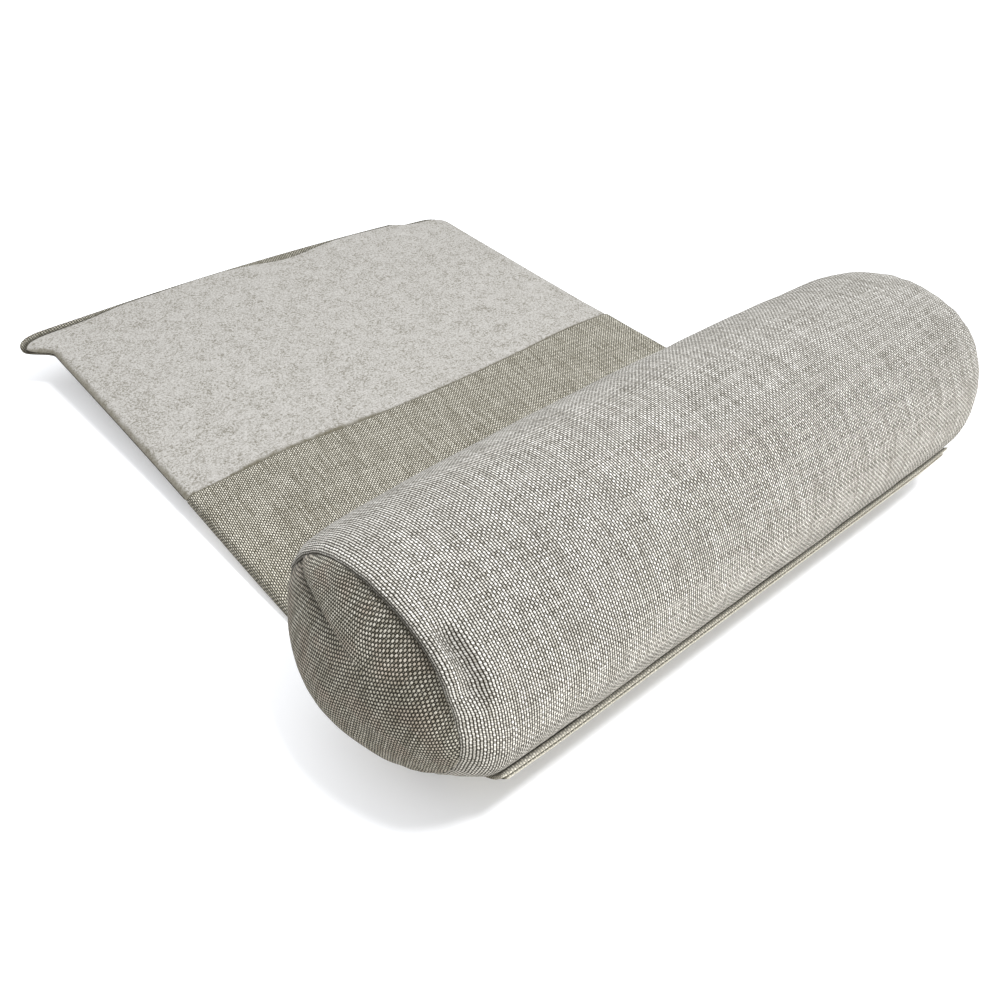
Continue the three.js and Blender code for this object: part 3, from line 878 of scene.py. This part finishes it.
def woven_material(name, light="#EBE9E4", mid="#A6A299", gap="#201C10", low_float=0.6, narrow=1.2,
                   blush=0.0):
    """Plain weave of cream and warm grey yarns, spun unevenly from mixed fibres. To the eye the dark
    gaps between yarns show olive, and some yarns are thicker or lighter along their length. The cloth's
    dark value is painted shade, towards the gaps' colour, and below 0 painted light, towards the light
    yarns' colour."""
    material, tree, shader = new_material(name)
    flat = add_node(tree, "UVMap", {"uv_map": "cut"}).outputs[0]
    wander = add_node(tree, "TexNoise", {}, {
        "Vector": flat, "Scale": 1 / (YARN_WANDER_SIZE * MM), "Detail": 3.0}).outputs["Color"]
    place = add_node(tree, "VectorMath", MULTIPLY_ADD, {
        0: wander, 1: (YARN_WANDER * MM, YARN_WANDER * MM, 0.0), 2: flat})
    threads = add_node(tree, "VectorMath", {"operation": "DIVIDE"}, {
        0: place, 1: (WARP_PITCH * MM, WEFT_PITCH * MM, 1.0)})
    cells = add_node(tree, "VectorMath", {"operation": "FLOOR"}, {0: threads})
    is_warp, height = weave_heights(tree, threads, low_float, narrow)
    yarn_tone = yarn_tones(tree, place, cells, is_warp)
    own_tone = add_node(tree, "TexWhiteNoise", {"noise_dimensions": "2D"}, {"Vector": cells})

    # Light yarns are thick ones, and each float has a height of its own.
    thickness = add_node(tree, "MapRange", SMOOTH_RANGE, {
        0: yarn_tone, 1: 0.3, 2: 0.7, 3: 0.9, 4: 1.05})
    height = add_node(tree, "Math", MULTIPLY, {0: height, 1: thickness})
    own_height = add_node(tree, "Math", MULTIPLY_ADD, {0: own_tone, 1: 0.2, 2: 0.88})
    height = add_node(tree, "Math", MULTIPLY, {0: height, 1: own_height})

    # Half of a float's tone comes from its yarn, and the rest from specks of fibre and its own cell.
    speck = add_node(tree, "TexNoise", {}, {
        "Vector": flat, "Scale": 1 / (YARN_SPECK_SIZE * MM), "Detail": 1.0})
    speck = add_node(tree, "MapRange", SMOOTH_RANGE, {0: speck, 1: 0.35, 2: 0.65})
    tone = add_node(tree, "MapRange", SMOOTH_RANGE, {0: yarn_tone, 1: 0.3, 2: 0.7})
    own_part = add_node(tree, "Math", MULTIPLY, {0: own_tone, 1: 0.2})
    fine_part = add_node(tree, "Math", MULTIPLY_ADD, {0: speck, 1: 0.3, 2: own_part})
    tone = add_node(tree, "Math", MULTIPLY_ADD, {0: tone, 1: 0.5, 2: fine_part})
    yarn = add_node(tree, "Mix", COLOUR_MIX, {0: tone, 6: linear(mid), 7: linear(light)})
    if blush:
        patches = add_node(tree, "TexNoise", {}, {"Vector": flat, "Scale": 1 / (BLUSH_SIZE * MM)})
        patches = add_node(tree, "MapRange", SMOOTH_RANGE, {0: patches, 1: 0.42, 2: 0.68, 4: blush})
        yarn = add_node(tree, "Mix", COLOUR_MIX, {
            0: patches, 6: yarn.outputs[MIXED_COLOUR], 7: linear("#BCA99C")})

    in_gap = add_node(tree, "MapRange", SMOOTH_RANGE, {0: height, 1: 0.14, 2: 0.74})
    colour = add_node(tree, "Mix", COLOUR_MIX, {
        0: in_gap, 6: linear(gap), 7: yarn.outputs[MIXED_COLOUR]})
    # The dark value paints shade in seams, creases and hollows, towards the gaps' colour, and below 0
    # paints light, towards the light yarns' colour.
    dark = add_node(tree, "Attribute", {"attribute_name": "dark"}).outputs["Fac"]
    for share, tint in ((0.8, gap), (-1.0, light)):
        colour = add_node(tree, "Mix", COLOUR_MIX, {
            0: add_node(tree, "Math", MULTIPLY, {0: dark, 1: share}),
            6: colour.outputs[MIXED_COLOUR], 7: linear(tint)})
    relief = add_node(tree, "Bump", {}, {"Height": height, "Distance": YARN_RISE * MM, "Strength": 0.6})
    feed(shader, {"Base Color": colour.outputs[MIXED_COLOUR], "Normal": relief})
    shader.inputs["Roughness"].default_value = 0.92
    shader.inputs["Specular IOR Level"].default_value = 0.15
    shader.inputs["Sheen Weight"].default_value = 0.06
    return material


def felt_material(name):
    """Pressed wool felt: light fibres matted in all directions, with sparse darker ones among them, so
    it looks soft, even and faintly mottled. Its turned-down sides and its seam get painted shade."""
    material, tree, shader = new_material(name)
    place = add_node(tree, "TexCoord").outputs["Object"]
    cloud = add_node(tree, "TexNoise", {}, {
        "Vector": place, "Scale": 1 / (FELT_CLOUD_SIZE * MM), "Detail": 4.0, "Roughness": 0.65})
    tuft, fleck = (
        add_node(tree, "TexNoise", {}, {
            "Vector": place, "Scale": 1 / (size * MM), "Detail": 3.0, "Roughness": 0.8})
        for size in (FELT_TUFT_SIZE, FELT_FLECK_SIZE)
    )
    clouded = add_node(tree, "MapRange", SMOOTH_RANGE, {0: cloud, 1: 0.35, 2: 0.65})
    pale = add_node(tree, "MapRange", SMOOTH_RANGE, {0: tuft, 1: 0.38, 2: 0.6})
    # The dark flecks are thinned out where the felt is clouded light.
    raised = add_node(tree, "Math", {"operation": "ADD"}, {0: fleck, 1: 0.15})
    crowded = add_node(tree, "Math", MULTIPLY_ADD, {0: cloud, 1: -0.3, 2: raised})
    crowded = add_node(tree, "MapRange", SMOOTH_RANGE, {0: crowded, 1: 0.54, 2: 0.64})
    flecked = add_node(tree, "Math", MULTIPLY, {0: crowded, 1: 0.8})
    dark = add_node(tree, "Attribute", {"attribute_name": "dark"}).outputs["Fac"]
    # The dark value paints shade on the felt's turned-down sides and by its seam.
    felt_edge_shade = add_node(tree, "Math", MULTIPLY, {0: dark, 1: 0.85})
    colour = add_node(tree, "Mix", COLOUR_MIX, {0: clouded, 6: linear("#85827B"), 7: linear("#93908B")})
    for share, tint in ((pale, "#B0AEAA"), (flecked, "#6E6A60"), (felt_edge_shade, "#5F5A4A")):
        colour = add_node(tree, "Mix", COLOUR_MIX, {
            0: share, 6: colour.outputs[MIXED_COLOUR], 7: linear(tint)})
    relief = add_node(tree, "Bump", {}, {"Height": tuft, "Distance": FELT_NAP * MM, "Strength": 0.5})
    feed(shader, {"Base Color": colour.outputs[MIXED_COLOUR], "Normal": relief})
    shader.inputs["Roughness"].default_value = 1.0
    shader.inputs["Specular IOR Level"].default_value = 0.05
    shader.inputs["Sheen Weight"].default_value = 0.1
    return material


def dress(piece, node, material):
    """Puts a finished piece in its CAD node's place."""
    piece.data.materials.append(material)
    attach(piece, "root")
    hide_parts(node)


def add_floor():
    """The studio's paper, matte and lit so far that only its deep shadows show."""
    bm = bmesh.new()
    bmesh.ops.create_grid(bm, x_segments=1, y_segments=1, size=FLOOR_HALF_SIZE)
    floor = finished("studio_floor", bm)
    material, _, shader = new_material("pale_floor_paper")
    shader.inputs["Base Color"].default_value = linear("#F3F4F7")
    shader.inputs["Roughness"].default_value = 1.0
    shader.inputs["Specular IOR Level"].default_value = 0.0
    shader.inputs["Emission Color"].default_value = (1.0, 1.0, 1.0, 1.0)
    shader.inputs["Emission Strength"].default_value = 0.21
    floor.data.materials.append(material)
    floor.visible_diffuse = False


def add_sky():
    """A plain studio, brightest overhead and a little behind, and the light that the floor throws back:
    warm, and more in front."""
    world = bpy.data.worlds.new("studio")
    world.use_nodes = True
    bpy.context.scene.world = world
    tree = world.node_tree
    direction = add_node(tree, "TexCoord").outputs["Generated"]
    up = add_node(tree, "SeparateXYZ", {}, {0: direction}).outputs["Z"]
    towards_front, overhead = (
        add_node(tree, "VectorMath", {"operation": "DOT_PRODUCT"}, {
            0: direction, 1: aim}).outputs["Value"]
        for aim in (SKY_FRONT, SKY_OVERHEAD)
    )
    in_front = add_node(tree, "MapRange", SMOOTH_RANGE, {0: towards_front, 1: 0.55, 2: 1.0})
    below = add_node(tree, "Mix", COLOUR_MIX, {
        0: in_front, 6: (1.08, 1.03, 0.92, 1.0), 7: (6.6, 6.5, 6.25, 1.0)})
    at_top = add_node(tree, "MapRange", SMOOTH_RANGE, {0: overhead, 1: 0.0, 2: 1.0})
    above = add_node(tree, "Mix", COLOUR_MIX, {
        0: at_top, 6: (0.46, 0.465, 0.47, 1.0), 7: (1.36, 1.37, 1.38, 1.0)})
    past_horizon = add_node(tree, "MapRange", SMOOTH_RANGE, {0: up, 1: -0.3, 2: 0.1})
    sky = add_node(tree, "Mix", COLOUR_MIX, {
        0: past_horizon, 6: below.outputs[MIXED_COLOUR], 7: above.outputs[MIXED_COLOUR]})
    feed(tree.nodes["Background"], {"Color": sky.outputs[MIXED_COLOUR], "Strength": 1.0})


def towards(azimuth_deg, elevation_deg):
    """The direction from the object to something at that azimuth, 0 being -Y and 90 +X."""
    azimuth, elevation = math.radians(azimuth_deg), math.radians(elevation_deg)
    return Vector((math.sin(azimuth) * math.cos(elevation), -math.cos(azimuth) * math.cos(elevation),
                   math.sin(elevation)))


def add_lamp():
    """The one lamp, a round softbox high over the front."""
    light = bpy.data.lights.new("key", "AREA")
    light.shape = "DISK"
    light.size = LAMP_SIZE
    light.energy = LAMP_POWER
    lamp = bpy.data.objects.new("key", light)
    bpy.context.scene.collection.objects.link(lamp)
    back = towards(LAMP_AZIMUTH, LAMP_ELEVATION)
    lamp.location = Vector(LAMP_AIM) + back * LAMP_DISTANCE
    lamp.rotation_euler = back.to_track_quat("Z", "Y").to_euler()


def add_camera():
    """The photo's camera, from a fit to the flap's straight edges and the bolster's outline."""
    data = bpy.data.cameras.new("camera")
    data.sensor_width = 36
    data.lens = CAMERA_LENS
    data.shift_x, data.shift_y = CAMERA_SHIFT
    camera = bpy.data.objects.new("camera", data)
    bpy.context.scene.collection.objects.link(camera)
    camera.location = CAMERA_PLACE
    camera.rotation_mode = "QUATERNION"
    view = -towards(CAMERA_AZIMUTH, CAMERA_ELEVATION)
    camera.rotation_quaternion = view.to_track_quat("-Z", "Y")
    bpy.context.scene.camera = camera


bpy.context.scene.view_settings.view_transform = "Standard"
add_camera()
add_floor()
add_sky()
add_lamp()

wrap_cloth = woven_material("plain_weave_wrap")
panel_cloth = woven_material("plain_weave_panel", light="#E2DFD4", mid="#948F7F", gap="#1B180D",
                             low_float=0.4, narrow=0.85, blush=0.45)
strip_cloth = woven_material("plain_weave_strip", light="#EFEBDE", mid="#A09A87", gap="#1B180D",
                             low_float=0.48)
back_cloth = woven_material("plain_weave_back", light="#DDD9CC", mid="#8F8A79", low_float=0.46)
felt = felt_material("pressed_wool_felt")

wrap = roll_wrap()
dress(wrap, "roll_wrap", wrap_cloth)

left_panel = end_panel("left_end_panel", -1, PANEL_DEPTH_LEFT, True)
dress(left_panel, "end_panel_left", panel_cloth)

right_panel = end_panel("right_end_panel", 1, PANEL_DEPTH_RIGHT, False)
dress(right_panel, "end_panel_right", panel_cloth)

back = flap_back()
dress(back, "flap_back", back_cloth)

strip = strip_top()
dress(strip, "strip_top", strip_cloth)

pocket = pocket_front()
dress(pocket, "pocket_front", felt)
